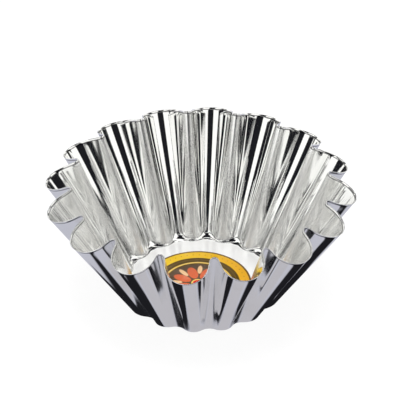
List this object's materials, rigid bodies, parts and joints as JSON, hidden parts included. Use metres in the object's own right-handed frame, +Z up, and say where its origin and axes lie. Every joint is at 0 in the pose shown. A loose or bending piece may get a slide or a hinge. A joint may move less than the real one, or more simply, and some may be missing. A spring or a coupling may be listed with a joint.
{
  "type": "fluted brioche tin",
  "caption": "Round fluted brioche or cake tin pressed from one sheet of bright tinplate, with deep flared lobes, a wavy rim and a round paper label stuck to the floor inside.",
  "frame": {"origin": "middle of the foot, at the level that the tin stands on", "axes": "+Z up along the tin's axis; the crown of one lobe lies on +X, and one on +Y"},
  "size_m": [0.2, 0.2, 0.0828],
  "materials": {
    "tinplate": "bright, mirror-like cold-rolled tinplate with faint draw marks",
    "label_paper": "coated printed paper, satin"
  },
  "bodies": {
    "root": {"pan_shell": "tinplate", "base_label": "label_paper"}
  },
  "joints": []
}
